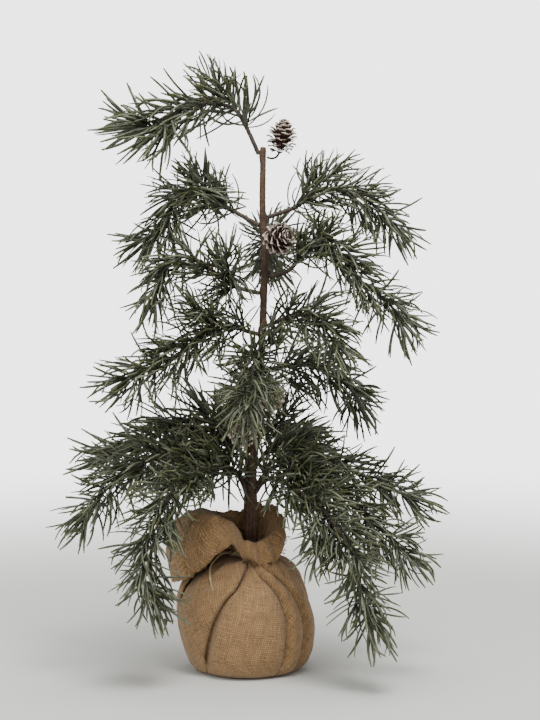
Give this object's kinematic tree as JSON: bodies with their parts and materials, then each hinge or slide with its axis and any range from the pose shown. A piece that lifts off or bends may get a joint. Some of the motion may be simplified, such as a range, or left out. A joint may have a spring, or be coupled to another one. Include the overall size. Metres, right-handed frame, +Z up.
{
  "type": "artificial tabletop tree",
  "caption": "Small artificial conifer: a taped wire trunk with bendable branches of long frosted needles and small cones, in a weighted pot wrapped in gathered burlap.",
  "frame": {"origin": "centre of the sack's flat underside, on the surface it stands on", "axes": "+Z up along the trunk, +X to the tree's right as seen from its front, +Y to its back"},
  "size_m": [0.3728, 0.295, 0.6029],
  "materials": {
    "frosted_needles": "moulded green polyethylene with a thin frosted bloom",
    "branch_tape": "dark brown-green crepe floral tape over wire",
    "paper_tape": "brown crepe paper tape wound over wire",
    "larch_cone": "dark red-brown scales with cream frosted edges",
    "burlap": "coarse plain-woven jute",
    "jute_twine": "twisted, hairy jute twine",
    "steel_core": "drawn wire",
    "pot_plastic": "thin moulded nursery pot",
    "cement": "cast, unpainted"
  },
  "bodies": {
    "base_and_trunk": {"burlap_wrap": "burlap", "cement_weight": "cement", "jute_tie": "jute_twine", "jute_tie_tail": "jute_twine", "plastic_pot": "pot_plastic", "trunk_core": "steel_core", "trunk_paper_wrap": "paper_tape"},
    "top_left_branch": {"top_left_inner_needles": "frosted_needles", "top_left_tip_needles": "frosted_needles", "top_left_wire": "branch_tape"},
    "upper_left_branch": {"upper_left_inner_needles": "frosted_needles", "upper_left_tip_needles": "frosted_needles", "upper_left_wire": "branch_tape"},
    "middle_left_branch": {"middle_left_inner_needles": "frosted_needles", "middle_left_tip_needles": "frosted_needles", "middle_left_wire": "branch_tape"},
    "front_left_branch": {"front_left_inner_needles": "frosted_needles", "front_left_tip_needles": "frosted_needles", "front_left_wire": "branch_tape"},
    "lower_left_branch": {"lower_left_tip_needles": "frosted_needles", "lower_left_wire": "branch_tape"},
    "bottom_left_branch": {"bottom_left_tip_needles": "frosted_needles", "bottom_left_wire": "branch_tape"},
    "bottom_front_left_branch": {"bottom_front_left_tip_needles": "frosted_needles", "bottom_front_left_wire": "branch_tape"},
    "upper_right_branch": {"upper_right_inner_needles": "frosted_needles", "upper_right_tip_needles": "frosted_needles", "upper_right_wire": "branch_tape"},
    "middle_right_branch": {"middle_right_inner_needles": "frosted_needles", "middle_right_tip_needles": "frosted_needles", "middle_right_wire": "branch_tape"},
    "front_right_branch": {"front_right_tip_needles": "frosted_needles", "front_right_wire": "branch_tape"},
    "back_right_branch": {"back_right_tip_needles": "frosted_needles", "back_right_wire": "branch_tape"},
    "lower_right_branch": {"lower_right_tip_needles": "frosted_needles", "lower_right_wire": "branch_tape"},
    "bottom_right_branch": {"bottom_right_tip_needles": "frosted_needles", "bottom_right_wire": "branch_tape"},
    "bottom_front_right_branch": {"bottom_front_right_inner_needles": "frosted_needles", "bottom_front_right_tip_needles": "frosted_needles", "bottom_front_right_wire": "branch_tape"},
    "front_branch": {"front_tip_needles": "frosted_needles", "front_wire": "branch_tape"},
    "upper_back_branch": {"upper_back_tip_needles": "frosted_needles", "upper_back_wire": "branch_tape"},
    "lower_back_branch": {"lower_back_tip_needles": "frosted_needles", "lower_back_wire": "branch_tape"},
    "back_left_branch": {"back_left_tip_needles": "frosted_needles", "back_left_wire": "branch_tape"},
    "lower_back_right_branch": {"lower_back_right_tip_needles": "frosted_needles", "lower_back_right_wire": "branch_tape"},
    "top_cone": {"top_cone": "larch_cone", "top_cone_wire": "paper_tape"},
    "middle_cone": {"middle_cone": "larch_cone", "middle_cone_wire": "paper_tape"},
    "lower_cone": {"lower_cone": "larch_cone", "lower_cone_wire": "paper_tape"},
    "bottom_cone": {"bottom_cone": "larch_cone", "bottom_cone_wire": "paper_tape"}
  },
  "joints": [
    {"name": "top_left_branch_bend", "type": "hinge", "parent": "base_and_trunk", "child": "top_left_branch", "pos_m": [0.01147, -0.00039, 0.507], "axis": [-0.0872, 0.9962, 0], "range_deg": [-25, 20]},
    {"name": "upper_left_branch_bend", "type": "hinge", "parent": "base_and_trunk", "child": "upper_left_branch", "pos_m": [0.01141, 0.00098, 0.438], "axis": [0.2079, 0.9781, 0], "range_deg": [-25, 35]},
    {"name": "middle_left_branch_bend", "type": "hinge", "parent": "base_and_trunk", "child": "middle_left_branch", "pos_m": [0.0117, -0.00122, 0.372], "axis": [-0.2419, 0.9703, 0], "range_deg": [-25, 30]},
    {"name": "front_left_branch_bend", "type": "hinge", "parent": "base_and_trunk", "child": "front_left_branch", "pos_m": [0.01044, -0.00244, 0.332], "axis": [-0.4695, 0.8829, 0], "range_deg": [-25, 20]},
    {"name": "lower_left_branch_bend", "type": "hinge", "parent": "base_and_trunk", "child": "lower_left_branch", "pos_m": [0.00197, 0.00079, 0.222], "axis": [0.1392, 0.9903, 0], "range_deg": [-25, 35]},
    {"name": "bottom_left_branch_bend", "type": "hinge", "parent": "base_and_trunk", "child": "bottom_left_branch", "pos_m": [-0.00101, -0.00161, 0.182], "axis": [-0.2756, 0.9613, 0], "range_deg": [-20, 30]},
    {"name": "bottom_front_left_branch_bend", "type": "hinge", "parent": "base_and_trunk", "child": "bottom_front_left_branch", "pos_m": [-0.00014, -0.00417, 0.172], "axis": [-0.7071, 0.7071, 0], "range_deg": [-12, 15]},
    {"name": "upper_right_branch_bend", "type": "hinge", "parent": "base_and_trunk", "child": "upper_right_branch", "pos_m": [0.02041, 0.00065, 0.446], "axis": [0.1392, -0.9903, 0], "range_deg": [-25, 20]},
    {"name": "middle_right_branch_bend", "type": "hinge", "parent": "base_and_trunk", "child": "middle_right_branch", "pos_m": [0.02192, -0.00137, 0.388], "axis": [-0.2756, -0.9613, 0], "range_deg": [-25, 20]},
    {"name": "front_right_branch_bend", "type": "hinge", "parent": "base_and_trunk", "child": "front_right_branch", "pos_m": [0.01924, -0.00346, 0.34], "axis": [-0.6691, -0.7431, 0], "range_deg": [-25, 35]},
    {"name": "back_right_branch_bend", "type": "hinge", "parent": "base_and_trunk", "child": "back_right_branch", "pos_m": [0.01771, 0.00284, 0.296], "axis": [0.5299, -0.848, 0], "range_deg": [-25, 35]},
    {"name": "lower_right_branch_bend", "type": "hinge", "parent": "base_and_trunk", "child": "lower_right_branch", "pos_m": [0.01196, 0.0004, 0.206], "axis": [0.0698, -0.9976, 0], "range_deg": [-25, 25]},
    {"name": "bottom_right_branch_bend", "type": "hinge", "parent": "base_and_trunk", "child": "bottom_right_branch", "pos_m": [0.01024, -0.002, 0.184], "axis": [-0.342, -0.9397, 0], "range_deg": [-20, 30]},
    {"name": "bottom_front_right_branch_bend", "type": "hinge", "parent": "base_and_trunk", "child": "bottom_front_right_branch", "pos_m": [0.00851, -0.00409, 0.176], "axis": [-0.6947, -0.7193, 0], "range_deg": [-12, 30]},
    {"name": "front_branch_bend", "type": "hinge", "parent": "base_and_trunk", "child": "front_branch", "pos_m": [0.01317, -0.00529, 0.306], "axis": [-0.9945, 0.1045, 0], "range_deg": [-25, 35]},
    {"name": "upper_back_branch_bend", "type": "hinge", "parent": "base_and_trunk", "child": "upper_back_branch", "pos_m": [0.01791, 0.00485, 0.41], "axis": [0.9994, -0.0349, 0], "range_deg": [-25, 35]},
    {"name": "lower_back_branch_bend", "type": "hinge", "parent": "base_and_trunk", "child": "lower_back_branch", "pos_m": [0.01014, 0.00547, 0.258], "axis": [0.9903, 0.1392, 0], "range_deg": [-25, 35]},
    {"name": "back_left_branch_bend", "type": "hinge", "parent": "base_and_trunk", "child": "back_left_branch", "pos_m": [0.00223, 0.00428, 0.204], "axis": [0.7431, 0.6691, 0], "range_deg": [-25, 35]},
    {"name": "lower_back_right_branch_bend", "type": "hinge", "parent": "base_and_trunk", "child": "lower_back_right_branch", "pos_m": [0.01082, 0.00491, 0.226], "axis": [0.866, -0.5, 0], "range_deg": [-25, 35]},
    {"name": "top_cone_bend", "type": "hinge", "parent": "base_and_trunk", "child": "top_cone", "pos_m": [0.01958, 0, 0.504], "axis": [0, -1, 0], "range_deg": [-25, 12]},
    {"name": "middle_cone_bend", "type": "hinge", "parent": "base_and_trunk", "child": "middle_cone", "pos_m": [0.01982, -0.0036, 0.41], "axis": [-0.866, -0.5, 0], "range_deg": [-25, 10]},
    {"name": "lower_cone_bend", "type": "hinge", "parent": "base_and_trunk", "child": "lower_cone", "pos_m": [0.01306, -0.00446, 0.262], "axis": [-0.9272, -0.3746, 0], "range_deg": [-25, 30]},
    {"name": "bottom_cone_bend", "type": "hinge", "parent": "base_and_trunk", "child": "bottom_cone", "pos_m": [0.00573, -0.00443, 0.226], "axis": [-0.891, 0.454, 0], "range_deg": [-25, 30]}
  ]
}
